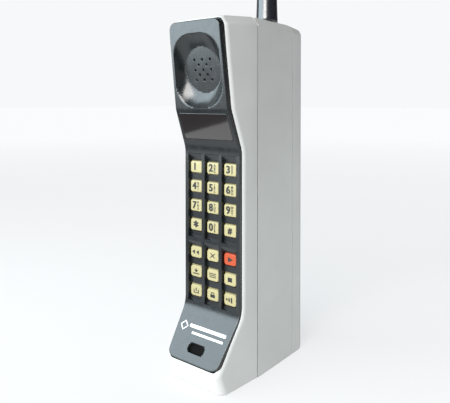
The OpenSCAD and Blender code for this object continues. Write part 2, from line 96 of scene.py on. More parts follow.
class Track:
    """Side view of a face from the foot up, measured by the length along it."""

    def __init__(self, path):
        self.path = [Vector(p) for p in path]
        self.at = [0.0]
        for p, q in zip(self.path, self.path[1:]):
            self.at.append(self.at[-1] + (q - p).length)
        self.length = self.at[-1]

    def point(self, s):
        """Position (y, z) and outward normal at the length s."""
        along = (self.place(s + NORMAL_REACH) - self.place(s - NORMAL_REACH)).normalized()
        return self.place(s), Vector((-along.y, along.x))

    def place(self, s):
        """Position (y, z) at the length s, kept between the track's ends."""
        s = max(0.0, min(self.length, s))
        i = max(1, min(len(self.at) - 1, bisect.bisect_right(self.at, s)))
        t = (s - self.at[i - 1]) / (self.at[i] - self.at[i - 1])
        return self.path[i - 1].lerp(self.path[i], t)

    def at_height(self, z):
        """Length along the track where it reaches the height z."""
        for i in range(1, len(self.path)):
            if self.path[i].y >= z:
                p, q = self.path[i - 1], self.path[i]
                return self.at[i - 1] + (z - p.y) / (q.y - p.y) * (self.at[i] - self.at[i - 1])
        return self.length

    def depth_at(self, z):
        """y where the track reaches the height z."""
        return self.place(self.at_height(z)).x


def merged_lines(values, gap=0.05):
    """Sorted grid lines, without near doubles."""
    lines = []
    for v in sorted(values):
        if not lines or v - lines[-1] > gap:
            lines.append(v)
    return lines


def even_lines(low, high, step):
    """Evenly spaced grid lines, both ends included, about a step apart."""
    count = max(1, round((high - low) / step))
    return [low + (high - low) * i / count for i in range(count + 1)]


def smooth_step(t):
    """Rise from 0 to 1 with level ends."""
    t = max(0.0, min(1.0, t))
    return t * t * (3 - 2 * t)


def round_over(distance, radius):
    """How far a surface has dropped at a distance from a rounded edge."""
    if distance >= radius:
        return 0.0
    return radius - math.sqrt(max(0.0, radius ** 2 - (radius - distance) ** 2))


# ---------------------------------------------------------------- mesh helpers

def finish_mesh(name, bm, sharp_angle=35):
    """Turn a bmesh in millimetres into an object, smooth except over sharp angles."""
    bmesh.ops.remove_doubles(bm, verts=bm.verts, dist=1e-5)
    bmesh.ops.recalc_face_normals(bm, faces=bm.faces)
    bmesh.ops.scale(bm, vec=(MM, MM, MM), verts=bm.verts)
    limit = math.radians(sharp_angle)
    for edge in bm.edges:
        edge.smooth = len(edge.link_faces) == 2 and edge.calc_face_angle(0) < limit
    for face in bm.faces:
        face.smooth = True
    mesh = bpy.data.meshes.new(name)
    bm.to_mesh(mesh)
    bm.free()
    piece = bpy.data.objects.new(name, mesh)
    bpy.context.scene.collection.objects.link(piece)
    return piece


def applied(piece):
    """Bake a piece's modifiers into its mesh."""
    bpy.context.view_layer.update()
    graph = bpy.context.evaluated_depsgraph_get()
    mesh = bpy.data.meshes.new_from_object(piece.evaluated_get(graph))
    piece.modifiers.clear()
    piece.data = mesh
    return piece


def loft(bm, rings, closed=True):
    """Skin between rings of equal length."""
    rows = [[bm.verts.new(p) for p in ring] for ring in rings]
    for low, high in zip(rows, rows[1:]):
        count = len(low)
        for i in range(count if closed else count - 1):
            j = (i + 1) % count
            bm.faces.new((low[i], low[j], high[j], high[i]))
    return rows


def rounded_rect(half_w, half_h, radius, steps=5):
    """Points around a rectangle with round corners, anticlockwise."""
    points = []
    for k, (sx, sy) in enumerate(((1, 1), (-1, 1), (-1, -1), (1, -1))):
        cx, cy = sx * (half_w - radius), sy * (half_h - radius)
        for i in range(steps + 1):
            angle = math.pi / 2 * (k + i / steps)
            points.append((cx + radius * math.cos(angle), cy + radius * math.sin(angle)))
    return points


def add_piece(piece, body, slot, material, *nodes):
    """Give a piece its body and material, and the CAD nodes it stands in for; the slot is not used."""
    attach(piece, body)
    if nodes:
        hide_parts(*nodes)
    piece.data.materials.clear()
    piece.data.materials.append(material)
    return piece


# ---------------------------------------------------------------- materials

def new_material(name):
    material = bpy.data.materials.new(name)
    material.use_nodes = True
    tree = material.node_tree
    return material, tree, tree.nodes["Principled BSDF"]


def noise_node(tree, coords, scale, detail=3.0, rough=0.5):
    node = tree.nodes.new("ShaderNodeTexNoise")
    node.inputs["Scale"].default_value = scale
    node.inputs["Detail"].default_value = detail
    node.inputs["Roughness"].default_value = rough
    tree.links.new(coords, node.inputs["Vector"])
    return node.outputs["Fac"]


def mapped(tree, value, low, high, out_low, out_high):
    """Value taken from one range to another."""
    node = tree.nodes.new("ShaderNodeMapRange")
    node.inputs["From Min"].default_value = low
    node.inputs["From Max"].default_value = high
    node.inputs["To Min"].default_value = out_low
    node.inputs["To Max"].default_value = out_high
    tree.links.new(value, node.inputs["Value"])
    return node.outputs["Result"]


def surface(name, colour, roughness, grain=1400.0, grain_height=0.00002, blotch=60.0,
            variation=0.06, rough_spread=0.08, metallic=0.0, specular=0.5, coat=0.0, tint=None):
    """Moulded or finished surface: slow colour drift, roughness drift and fine grain."""
    material, tree, shader = new_material(name)
    coords = tree.nodes.new("ShaderNodeTexCoord").outputs["Object"]
    drift = noise_node(tree, coords, blotch, 4.0)
    mix = tree.nodes.new("ShaderNodeMix")
    mix.data_type = "RGBA"
    dark = [c * (1 - variation) for c in colour]
    light = [min(1.0, c * (1 + variation)) for c in (tint or colour)]
    mix.inputs["A"].default_value = (*dark, 1)
    mix.inputs["B"].default_value = (*light, 1)
    tree.links.new(mapped(tree, drift, 0.3, 0.7, 0.0, 1.0), mix.inputs["Factor"])
    tree.links.new(mix.outputs["Result"], shader.inputs["Base Color"])
    wear = noise_node(tree, coords, blotch * 4, 2.0)
    rough = mapped(tree, wear, 0.3, 0.7, roughness - rough_spread / 2, roughness + rough_spread / 2)
    tree.links.new(rough, shader.inputs["Roughness"])
    if grain_height:
        fine = noise_node(tree, coords, grain, 2.0, 0.6)
        bump = tree.nodes.new("ShaderNodeBump")
        bump.inputs["Strength"].default_value = 1.0
        bump.inputs["Distance"].default_value = grain_height
        tree.links.new(fine, bump.inputs["Height"])
        tree.links.new(bump.outputs["Normal"], shader.inputs["Normal"])
    shader.inputs["Metallic"].default_value = metallic
    shader.inputs["Specular IOR Level"].default_value = specular
    shader.inputs["Coat Weight"].default_value = coat
    shader.inputs["Coat Roughness"].default_value = 0.08
    return material


MATERIALS = {
    "housing_grey": surface("housing_grey", (0.50, 0.515, 0.51), 0.48, grain=2200,
                            grain_height=0.00003, variation=0.03, specular=0.35),
    "panel_charcoal": surface("panel_charcoal", (0.006, 0.0078, 0.009), 0.26, grain=2600,
                              grain_height=0.0000015, variation=0.08, specular=0.7),
    "key_cream": surface("key_cream", (0.34, 0.305, 0.16), 0.32, grain=900, grain_height=0.000006,
                         variation=0.04, specular=0.5),
    "key_red": surface("key_red", (0.36, 0.055, 0.018), 0.32, grain=900, grain_height=0.000006,
                       variation=0.05, specular=0.5),
    "smoked_lens": surface("smoked_lens", (0.007, 0.0036, 0.0028), 0.05, grain_height=0.0,
                           variation=0.10, rough_spread=0.03, specular=0.9, coat=1.0),
    "antenna_rubber": surface("antenna_rubber", (0.008, 0.009, 0.013), 0.26, grain=500,
                              grain_height=0.000002, variation=0.15, specular=0.9, coat=0.5),
    "black_rubber": surface("black_rubber", (0.02, 0.02, 0.021), 0.7, grain=900, variation=0.12),
    "dome_rubber": surface("dome_rubber", (0.35, 0.35, 0.34), 0.6, grain=700),
    "black_plastic": surface("black_plastic", (0.022, 0.022, 0.024), 0.45, grain=1500, variation=0.1),
    "cover_grey": surface("cover_grey", (0.10, 0.105, 0.11), 0.5, grain=1600, variation=0.08),
    "circuit_board": surface("circuit_board", (0.03, 0.16, 0.06), 0.35, grain=300, blotch=220,
                             variation=0.3, tint=(0.06, 0.26, 0.10)),
    "digit_red": surface("digit_red", (0.16, 0.012, 0.012), 0.2, grain=300, variation=0.1),
    "ribbon_film": surface("ribbon_film", (0.50, 0.30, 0.08), 0.35, grain=300, blotch=500,
                           variation=0.2),
    "cell_wrap": surface("cell_wrap", (0.05, 0.11, 0.25), 0.35, grain=300, blotch=90, variation=0.1),
    "chassis_aluminium": surface("chassis_aluminium", (0.72, 0.73, 0.74), 0.35, metallic=1.0, grain=900),
    "screw_steel": surface("screw_steel", (0.60, 0.60, 0.61), 0.32, metallic=1.0, grain=1200),
    "shield_tin": surface("shield_tin", (0.70, 0.70, 0.68), 0.38, metallic=1.0, grain=500),
    "filter_brass": surface("filter_brass", (0.62, 0.46, 0.22), 0.4, metallic=1.0, grain=700),
    "contact_brass": surface("contact_brass", (0.75, 0.55, 0.24), 0.28, metallic=1.0, grain=900),
}
INK_BLACK = surface("ink_black", (0.012, 0.012, 0.013), 0.5, grain=3000, grain_height=0.000004,
                    variation=0.2)
SLOT_BLACK = surface("slot_black", (0.004, 0.004, 0.004), 0.9, grain=900, variation=0.2,
                     specular=0.1)
INK_WHITE = surface("ink_white", (0.80, 0.82, 0.84), 0.5, grain=3000, grain_height=0.000004,
                    variation=0.04)

node_slots = {part["node"]: part["material_slot"] for part in RECORD["subparts"]}
for node, piece in CAD_NODES.items():
    piece.data.materials.clear()
    piece.data.materials.append(MATERIALS[node_slots[node]])


# ---------------------------------------------------------------- shapes of the face

middle_low, middle_high = box_mm("middle_housing")
seam_y = middle_low.y
side_x = middle_high.x
roof_z = middle_high.z

# Corners of the panel's and the housing's side view: y, z, blend radius
PANEL_CORNERS = ((-41.9, 13.9, 0), (-23.7, 38.2, 14), (-23.7, 130.7, 14), (-33.1, 153.7, 8),
                 (-38.5, 193.5, 40), (-39.5, 202.8, 0))
HOUSING_CORNERS = ((-38.25, 0, 0), (-42.05, 11.4, 2.5), (-23.2, 39.4, 16), (-23.2, 131, 14),
                   (-30.9, 153.8, 10), (-35.9, 200, 20), (-36.4, 207, 0))
panel_track = Track(rounded_path(PANEL_CORNERS))
housing_track = Track(rounded_path(HOUSING_CORNERS))

PANEL_HALF = 20.5
PANEL_TAPER = 0.13  # narrowing for each mm that the face stands forward of the keypad
PANEL_CORNER_R = 4.5
PANEL_THICK = 3.0
RIM_R = 0.45
PANEL_GAP = 0.45  # between the panel and the housing


def tapered_half(s):
    """Half width of the panel at the length s, before its ends are rounded."""
    return PANEL_HALF - PANEL_TAPER * max(0.0, PANEL_CORNERS[1][0] - panel_track.place(s).x)


def panel_half(s):
    """Half width of the panel at the length s, with its rounded ends."""
    end = min(s, panel_track.length - s)
    return tapered_half(s) - (round_over(end, PANEL_CORNER_R) if end < PANEL_CORNER_R else 0.0)


def panel_edge_distance(x, s):
    """Distance from a point of the panel's face to its outline."""
    end = min(s, panel_track.length - s)
    across = tapered_half(s) - abs(x)
    if end < PANEL_CORNER_R and across < PANEL_CORNER_R:
        return PANEL_CORNER_R - math.hypot(PANEL_CORNER_R - across, PANEL_CORNER_R - end)
    return min(across, end)


# Earpiece dish: rounded outline, flat round floor that is shallower towards the top
DISH_CENTRE_Z = 175.4
DISH_HALF_W = 17.0
DISH_HALF_H = 20.8
DISH_CORNER_R = 13.0
DISH_FLOOR_R = 13.5
DISH_DEPTH = 5.3
DISH_LEAN = 0.055  # loss of depth for each mm up the dish
DISH_STEP = 0.15  # from the floor to the foot of the wall
DISH_LIP = 0.12  # share of the wall that the upper lip takes
DISH_DROP = 0.65  # how much lower the upper wall lies below its lip
DISH_DROP_RUN = 12.0
DISH_MARGIN = 6.0
dish_s = panel_track.at_height(DISH_CENTRE_Z)


def dish_reach(dx, dy):
    """Distance from the dish's centre to its outline in the direction (dx, dy)."""
    dx, dy = abs(dx), abs(dy)
    low, high = 0.0, 40.0
    for _ in range(22):
        t = (low + high) / 2
        px, py = t * dx - (DISH_HALF_W - DISH_CORNER_R), t * dy - (DISH_HALF_H - DISH_CORNER_R)
        outside = math.hypot(max(px, 0), max(py, 0)) + min(max(px, py), 0) - DISH_CORNER_R
        low, high = (t, high) if outside < 0 else (low, t)
    return low


def dish_depth(x, s):
    """Depth of the dish: its floor, then a wall that is steeper under the upper lip."""
    radius = math.hypot(x, s - dish_s)
    floor = DISH_DEPTH - DISH_LEAN * (s - dish_s)
    if radius <= DISH_FLOOR_R:
        return floor
    if radius > DISH_HALF_H + DISH_MARGIN:
        return 0.0
    reach = dish_reach(x / radius, (s - dish_s) / radius)
    t = (radius - DISH_FLOOR_R) / (reach - DISH_FLOOR_R)
    if t >= 1:
        return 0.0
    lip = smooth_step((1 - t) / DISH_LIP)
    drop = DISH_DROP * smooth_step((s - dish_s) / DISH_DROP_RUN + 0.5)
    return (floor - DISH_STEP) * (1 - 0.5 * t - 0.5 * t * t) * (1 - drop + drop * lip)


# Key channels and key wells
CHANNEL_HALF = 5.25
CHANNEL_DEPTH = 2.1
CHANNEL_DRAFT = 0.3
CHANNEL_RAMP = 3.6
KEY_FIT = 0.3
KEYS = {node: box_mm(node) for node in CAD_NODES
        if node.startswith("key_") and node not in ("key_board", "key_dome_sheet")}
FLANGE = 0.8
key_centres = {node: (low + high) / 2 for node, (low, high) in KEYS.items()}
key_low, key_high = KEYS["key_5"]
key_half_w = (key_high.x - key_low.x) / 2 - FLANGE
key_half_h = (key_high.z - key_low.z) / 2 - FLANGE
key_face_y = key_low.y
columns = sorted({round(c.x, 2) for c in key_centres.values()})
rows = sorted({round(c.z, 2) for c in key_centres.values()}, reverse=True)
NUMBER_ROWS = 4
NUMBER_MARGINS = (3.6, 4.4)  # channel below and above the number keys
FUNCTION_MARGINS = (2.4, 2.6)
channel_groups = (
    (rows[NUMBER_ROWS - 1] - key_half_h - NUMBER_MARGINS[0], rows[0] + key_half_h + NUMBER_MARGINS[1]),
    (rows[-1] - key_half_h - FUNCTION_MARGINS[0], rows[NUMBER_ROWS] + key_half_h + FUNCTION_MARGINS[1]),
)


def channel_depth(x, z):
    """Depth of the key channels: drafted sides and foot, and a ramp at the top."""
    for low, high in channel_groups:
        for column in columns:
            inside = min((CHANNEL_HALF - abs(x - column)) / CHANNEL_DRAFT, (z - low) / CHANNEL_DRAFT)
            if inside > 0 and z < high:
                return CHANNEL_DEPTH * min(1.0, inside, (high - z) / CHANNEL_RAMP)
    return 0.0


# Display window
WINDOW_HALF_W = 17.8
WINDOW_HALF_H = 8.0
WINDOW_LIP = 0.12
WINDOW_EDGE = 0.06  # run of the recess's wall
WINDOW_LEDGE = 2  # width of the ledge that the lens lies on
WINDOW_CENTRE_Z = 144.1
LENS_DEPTH = 1.3
window_s = panel_track.at_height(WINDOW_CENTRE_Z)


def window_depth(x, s):
    """Depth of the recess that holds the lens."""
    inside = min(WINDOW_HALF_W + WINDOW_LIP - abs(x), WINDOW_HALF_H + WINDOW_LIP - abs(s - window_s))
    return LENS_DEPTH * max(0.0, min(1.0, inside / WINDOW_EDGE))


def panel_depth(x, s):
    """How far the panel's face lies below its outline surface."""
    z = panel_track.place(s).y
    return max(round_over(max(0.0, panel_edge_distance(x, s)), RIM_R), dish_depth(x, s),
               channel_depth(x, z), window_depth(x, s))


def around(value, *offsets):
    """Grid lines at offsets from a value."""
    return [value + o for o in offsets]


PANEL_END_LINES = (0.05, 0.13, 0.25, 0.45, 0.8, 1.5, 2.2, 3.0, 3.8)
PANEL_RIM_LINES = (1.0, 0.45, 0.25, 0.13, 0.05, 0.0)  # distances in from the panel's side edge
RIM_BAND = 1.3  # width of the rim that the inner columns leave free


def panel_rows():
    """Grid lines along the panel: close where it is shaped, wide where it is plain."""
    top = panel_track.length
    lines = even_lines(0, top, 1.2)
    lines += even_lines(dish_s - DISH_HALF_H - 1, dish_s + DISH_HALF_H + 1, 0.5)
    for e in PANEL_END_LINES:
        lines += [e, top - e]
    exact = []
    for low, high in channel_groups:
        exact += around(panel_track.at_height(low), 0, CHANNEL_DRAFT)
        exact += around(panel_track.at_height(high), -CHANNEL_RAMP, 0)
    for z in rows:
        exact += around(panel_track.at_height(z), -key_half_h - KEY_FIT, key_half_h + KEY_FIT)
    for side in (-1, 1):
        edge = window_s + side * (WINDOW_HALF_H + WINDOW_LIP)
        exact += around(edge, 0, -side * WINDOW_EDGE)
        exact.append(window_s + side * (WINDOW_HALF_H - WINDOW_LEDGE))
    exact += [0.0, top]
    return thinned(lines, exact)


def thinned(lines, exact):
    """Exact lines, and the others where they're clear of them."""
    exact = merged_lines(exact, 0.02)
    spare = [v for v in lines if all(abs(v - e) > 0.14 for e in exact)]
    return merged_lines(exact + spare, 0.02)


INNER_LIMIT = 18.2


def panel_columns():
    """Grid lines across the panel inside its rim."""
    exact = [-INNER_LIMIT, INNER_LIMIT, 0.0]
    for column in columns:
        for side in (-1, 1):
            exact += around(column + side * CHANNEL_HALF, 0, -side * CHANNEL_DRAFT)
            exact.append(column + side * (key_half_w + KEY_FIT))
    for side in (-1, 1):
        edge = side * (WINDOW_HALF_W + WINDOW_LIP)
        exact += around(edge, 0, -side * WINDOW_EDGE)
        exact.append(side * (WINDOW_HALF_W - WINDOW_LEDGE))
    return thinned(even_lines(-INNER_LIMIT, INNER_LIMIT, 0.6), exact)


def is_hole(x, s):
    """Whether the panel is open here, behind the lens or around a key."""
    z = panel_track.place(s).y
    if abs(x) < WINDOW_HALF_W - WINDOW_LEDGE and abs(s - window_s) < WINDOW_HALF_H - WINDOW_LEDGE:
        return True
    return any(abs(x - c.x) < key_half_w + KEY_FIT and abs(z - c.z) < key_half_h + KEY_FIT
               for c in key_centres.values())


BROW_RISE = (134, 20)  # height where the brow's extra thickness starts, and its run
BROW_FALL = (172, 30)
BROW_EXTRA = 2.0
WALL_UNDER = 1.3  # least wall under a recess


def panel_back(s, depth):
    """Thickness of the panel, more behind the brow and the dish."""
    z = panel_track.place(s).y
    rise = smooth_step((z - BROW_RISE[0]) / BROW_RISE[1])
    fall = smooth_step((z - BROW_FALL[0]) / BROW_FALL[1])
    return max(PANEL_THICK + BROW_EXTRA * (rise * (1 - fall)), depth + WALL_UNDER)


def build_panel():
    """Face panel: a shaped front, a back, and walls around every opening."""
    inner = panel_columns()
    bm = bmesh.new()
    front, back, places = [], [], []
    for s in panel_rows():
        half = panel_half(s)
        limit = min(INNER_LIMIT, half - RIM_BAND)
        xs = [x * limit / INNER_LIMIT for x in inner]
        rim = [limit + (half - PANEL_RIM_LINES[0] - limit) * 0.5] + [half - e for e in PANEL_RIM_LINES]
        xs = [-x for x in reversed(rim)] + xs + rim
        (y, z), normal = panel_track.point(s)
        front_row, back_row = [], []
        for x in xs:
            depth = panel_depth(x, s)
            thick = panel_back(s, depth)
            front_row.append(bm.verts.new((x, y - normal.x * depth, z - normal.y * depth)))
            back_row.append(bm.verts.new((x, y - normal.x * thick, z - normal.y * thick)))
        front.append(front_row)
        back.append(back_row)
        places.append((s, xs))
    kept = {}
    for i in range(len(front) - 1):
        for j in range(len(front[0]) - 1):
            s = (places[i][0] + places[i + 1][0]) / 2
            x = (places[i][1][j] + places[i][1][j + 1]) / 2
            kept[i, j] = not is_hole(x, s)
    for (i, j), keep in kept.items():
        if not keep:
            continue
        a, b, c, d = (i, j), (i, j + 1), (i + 1, j + 1), (i + 1, j)
        bm.faces.new([front[p][q] for p, q in (a, b, c, d)])
        bm.faces.new([back[p][q] for p, q in (d, c, b, a)])
        sides = ((a, b, (i - 1, j)), (b, c, (i, j + 1)), (c, d, (i + 1, j)), (d, a, (i, j - 1)))
        for (pi, pj), (qi, qj), neighbour in sides:
            if not kept.get(neighbour, False):
                bm.faces.new((front[qi][qj], front[pi][pj], back[pi][pj], back[qi][qj]))
    panel = finish_mesh("face_panel", bm, 32)
    cutter = build_panel_cutter()
    cut = panel.modifiers.new("holes", "BOOLEAN")
    cut.operation = "DIFFERENCE"
    cut.solver = "MANIFOLD"
    cut.object = cutter
    applied(panel)
    bpy.data.objects.remove(cutter)
    return panel


def face_matrix(s, x=0.0):
    """Placing matrix at the length s: local x across, local y up along the face, local z out of it."""
    here, normal = panel_track.point(s)
    along = Vector((0, normal.y, -normal.x))
    out = Vector((0, normal.x, normal.y))
    across = along.cross(out)
    turn = Matrix((across, along, out)).transposed().to_4x4()
    return Matrix.Translation(Vector((x, here.x, here.y))) @ turn


SOUND_PITCH = 5.75
SOUND_R = 0.75
SLOT_W = 12.0
SLOT_H = 5.2
SLOT_CUT = 2.85
BAFFLE_LEVELS = (-2.8, -2.3)
slot_s = panel_track.at_height(20.1)


def prism(bm, outline, low, high, matrix):
    """Closed prism along local z between two heights."""
    rings = [[matrix @ Vector((x, y, h)) for x, y in outline] for h in (low, high)]
    first, last = loft(bm, rings)
    bm.faces.new(list(reversed(first)))
    bm.faces.new(last)


def circle_points(cx, cy, radius, count=28):
    turn = 2 * math.pi / count
    return [(cx + radius * math.cos(turn * i), cy + radius * math.sin(turn * i)) for i in range(count)]


def sound_places():
    """Centres of the sound holes: nine on a square grid and four between them."""
    outer = [(x * SOUND_PITCH, y * SOUND_PITCH) for x in (-1, 0, 1) for y in (-1, 0, 1)]
    inner = [(x * SOUND_PITCH, y * SOUND_PITCH) for x in (-0.5, 0.5) for y in (-0.5, 0.5)]
    return outer + inner


def build_panel_cutter():
    """Sound holes through the dish, and the microphone slot."""
    bm = bmesh.new()
    ear = face_matrix(dish_s)
    for x, y in sound_places():
        prism(bm, circle_points(x, y, SOUND_R), -12, 0, ear)
    slot = rounded_rect(SLOT_W / 2, SLOT_H / 2, SLOT_H / 2 - 0.01, 8)
    prism(bm, slot, -SLOT_CUT, 3, face_matrix(slot_s))
    return finish_mesh("panel_cutter", bm)


# ---------------------------------------------------------------- front housing

# Depth, and how far the side has drawn in there
PLAN_POINTS = ((-46.0, 3.2), (-37.5, 2.6), (-22.2, 0.45), (-15.0, 0.0))
EDGE_DROP = 4.8
EDGE_IN = 3.9
FRONT_SLOPE = 2.1 / 29.6
SEAM_GAP = 0.75
SEAM_EDGE = 0.25
BASE_R = 0.8
TOP_R = 2.4
CHAMFER_BLEND = 0.8
HOUSING_WALL = 1.6


def plan_half(y):
    """Half width of the body at the depth y."""
    if y >= PLAN_POINTS[-1][0]:
        return side_x
    for (y0, d0), (y1, d1) in zip(PLAN_POINTS, PLAN_POINTS[1:]):
        if y <= y1:
            return side_x - (d0 + (d1 - d0) * (y - y0) / (y1 - y0))
    return side_x


def housing_ring(z):
    """Outline of the front housing at the height z, from the seam round the face to the seam."""
    corner_r = 3.2 + 1.0 * (1 - smooth_step((z - 10) / 20)) - 0.4 * smooth_step((z - 140) / 40)
    edge = roof_z - EDGE_DROP
    rise = z - edge
    if abs(rise) > CHAMFER_BLEND:
        chamfer = EDGE_IN / EDGE_DROP * max(0.0, rise)
    else:
        chamfer = EDGE_IN / EDGE_DROP * (rise + CHAMFER_BLEND) ** 2 / (4 * CHAMFER_BLEND)
    inset = chamfer + round_over(z, BASE_R)
    front_y = housing_track.depth_at(z) + round_over(roof_z - z, TOP_R) + round_over(z, BASE_R)
    start_y = front_y + corner_r
    points = [(plan_half(seam_y) - inset - SEAM_EDGE, seam_y - SEAM_GAP)]
    sides = even_lines(seam_y - SEAM_GAP - SEAM_EDGE, start_y, (seam_y - start_y) / 8)
    points += [(plan_half(y) - inset, y) for y in sides]
    corner = (plan_half(front_y) - inset, front_y)
    first, last = points[-1], (corner[0] - corner_r, front_y)
    for i in range(1, 10):
        t = i / 10
        weights = ((1 - t) ** 2, 2 * t * (1 - t) * 0.7071, t ** 2)
        pulls = list(zip(weights, (first, corner, last)))
        points.append(tuple(sum(w * p[k] for w, p in pulls) / sum(weights) for k in (0, 1)))
    points += [(x, front_y) for x in even_lines(last[0], 0, last[0] / 7)]
    mirrored = [(-x, y) for x, y in reversed(points[:-1])]
    tilt = smooth_step((z - 150) / 45)
    return [(x, y, z + FRONT_SLOPE * (y - seam_y) * tilt) for x, y in points + mirrored]


def build_front_housing():
    """Hollow front shell with an opening for the panel."""
    top = roof_z
    heights = [0, 0.08, 0.25, 0.5, 0.8] + even_lines(2, 8, 2) + even_lines(8.6, 15, 0.6)
    heights += even_lines(16, 26, 2) + even_lines(27, 50, 1.0) + even_lines(55, 118, 7)
    heights += even_lines(120, 172, 1.6) + even_lines(175, 200, 4)
    heights += even_lines(top - EDGE_DROP - 1.2, top - TOP_R, 0.4)
    heights += even_lines(top - TOP_R + 0.3, top, 0.3)
    heights = merged_lines(heights, 0.06)
    bm = bmesh.new()
    rings = loft(bm, [housing_ring(z) for z in heights], closed=False)
    bm.faces.new(rings[-1])
    bm.faces.new(list(reversed(rings[0])))
    shell = finish_mesh("front_shell", bm, 28)
    foremost = min(shell.data.polygons, key=lambda face: face.center.y)
    if foremost.normal.y > 0:
        shell.data.flip_normals()
    skin = shell.modifiers.new("walls", "SOLIDIFY")
    skin.thickness = HOUSING_WALL * MM
    skin.offset = -1
    skin.use_even_offset = False
    cutter = build_opening_cutter()
    cut = shell.modifiers.new("opening", "BOOLEAN")
    cut.operation = "DIFFERENCE"
    cut.solver = "MANIFOLD"
    cut.object = cutter
    applied(shell)
    bpy.data.objects.remove(cutter)
    return shell


def build_opening_cutter():
    """Block in the panel's outline, grown by the gap around it."""
    bm = bmesh.new()
    rings = []
    ends = [0.0, 0.04, 0.15, 0.35, 0.7, 1.2, 1.9, 2.7, 3.6, PANEL_CORNER_R]
    top = panel_track.length
    middle = even_lines(PANEL_CORNER_R, top - PANEL_CORNER_R, 1.5)
    lines = merged_lines(ends + middle + [top - e for e in ends])
    for s in lines:
        here, normal = panel_track.point(s)
        half = panel_half(s) + PANEL_GAP
        grown = -PANEL_GAP if s < 1 else (PANEL_GAP if s > top - 1 else 0.0)
        along = Vector((normal.y, -normal.x))
        base = here + along * grown
        corners = []
        for depth in (-4.0, 7.0):
            y, z = base.x - normal.x * depth, base.y - normal.y * depth
            corners += [(-half, y, z), (half, y, z)]
        rings.append([corners[0], corners[1], corners[3], corners[2]])
    made = loft(bm, rings)
    bm.faces.new(list(reversed(made[0])))
    bm.faces.new(made[-1])
    return finish_mesh("opening_cutter", bm)


# ---------------------------------------------------------------- keys

KEY_LETTERS = {"key_2": "ABC", "key_3": "DEF", "key_4": "GHI", "key_5": "JKL", "key_6": "MNO",
               "key_7": "PRS", "key_8": "TUV", "key_9": "WXY", "key_0": "OPER"}
KEY_DIGITS = {**{f"key_{i}": str(i) for i in range(10)}, "key_star": "*", "key_hash": "#"}


def build_key(node):
    """Key cap with sloping sides and a soft crown, on its retaining flange."""
    low, high = KEYS[node]
    centre = key_centres[node]
    corner = 1.0 if node in KEY_DIGITS else 1.7
    # Distance down from the face, drawn in across and up, share of the corner radius
    levels = (
        (0.0, 0.95, 0.75, 0.7), (0.02, 0.82, 0.64, 0.8), (0.07, 0.70, 0.54, 0.9),
        (0.17, 0.60, 0.46, 0.95), (0.40, 0.50, 0.36, 1.0), (1.7, 0.08, 0.06, 1.0),
        (high.y - low.y - FLANGE, 0.0, 0.0, 1.0),
    )
    bm = bmesh.new()
    rings = []
    for down, in_w, in_h, share in levels:
        outline = rounded_rect(key_half_w - in_w, key_half_h - in_h, corner * share, 5)
        rings.append([(centre.x + x, low.y + down, centre.z + z) for x, z in outline])
    first = loft(bm, rings)[0]
    crown = bm.verts.new((centre.x, low.y - 0.06, centre.z))
    middle = [bm.verts.new(((v.co.x - centre.x) * 0.55 + centre.x, low.y - 0.045,
                            (v.co.z - centre.z) * 0.55 + centre.z)) for v in first]
    count = len(first)
    for i in range(count):
        j = (i + 1) % count
        bm.faces.new((first[j], first[i], middle[i], middle[j]))
        bm.faces.new((middle[j], middle[i], crown))
    flange = rounded_rect(key_half_w + FLANGE, key_half_h + FLANGE, 0.6, 3)
    back = [[(centre.x + x, y, centre.z + z) for x, z in flange] for y in (high.y - FLANGE, high.y)]
    near, far = loft(bm, back)
    bm.faces.new(near)
    bm.faces.new(list(reversed(far)))
    bmesh.ops.holes_fill(bm, edges=bm.edges, sides=64)
    cap = finish_mesh(node + "_cap", bm, 30)
    slot = node_slots[node]
    add_piece(cap, node, slot, MATERIALS[slot], node)


PRINT_HEIGHT = 0.015


def text_mesh(name, words, size, matrix, weight, height=PRINT_HEIGHT):
    """Raised print, as a thin closed mesh."""
    curve = bpy.data.curves.new(name, "FONT")
    curve.body = words
    curve.size = size
    curve.align_x = "CENTER"
    curve.align_y = "CENTER"
    curve.extrude = height
    curve.offset = weight
    curve.resolution_u = 6
    holder = bpy.data.objects.new(name + "_text", curve)
    bpy.context.scene.collection.objects.link(holder)
    bpy.context.view_layer.update()
    graph = bpy.context.evaluated_depsgraph_get()
    mesh = bpy.data.meshes.new_from_object(holder.evaluated_get(graph))
    bpy.data.objects.remove(holder)
    mesh.transform(Matrix.Scale(MM, 4) @ matrix)
    mesh.name = name
    piece = bpy.data.objects.new(name, mesh)
    bpy.context.scene.collection.objects.link(piece)
    return piece


def key_matrix(node, dx=0, dz=0):
    """Print on a key: local x across, local y up, local z out of the key."""
    centre = key_centres[node]
    turn = Matrix(((1, 0, 0), (0, 0, -1), (0, 1, 0))).to_4x4()
    return Matrix.Translation(Vector((centre.x + dx, key_face_y - 0.065, centre.z + dz))) @ turn


def print_number_key(node):
    """Digit, as two copies side by side for its weight, and small letters in a column beside it."""
    words = KEY_DIGITS[node]
    size = {"*": 8.6, "#": 4.6}.get(words, 5.9)
    drop = -1.3 if words == "*" else 0.0
    shift = {"*": -0.1, "#": 0.0, "1": -0.9}.get(words, -1.25)
    for side in (-1, 1):
        place = key_matrix(node, shift + side * 0.15, drop)
        name = f"{node}_digit_{'lr'[side > 0]}"
        digit = text_mesh(name, words, size, place, 0.16, PRINT_HEIGHT + 0.002 * side)
        add_piece(digit, node, "antenna_rubber", INK_BLACK)
    letters = KEY_LETTERS.get(node, "")
    pitch = 5.25 / max(3, len(letters))
    for i, letter in enumerate(letters):
        place = key_matrix(node, 1.55, pitch * ((len(letters) - 1) / 2 - i))
        small = text_mesh(f"{node}_letter_{i}", letter, pitch * 1.15, place, 0.09)
        add_piece(small, node, "antenna_rubber", INK_BLACK)


def bar(x0, y0, x1, y1):
    """Outline of an upright rectangle between two corners."""
    return [(x0, y0), (x1, y0), (x1, y1), (x0, y1)]


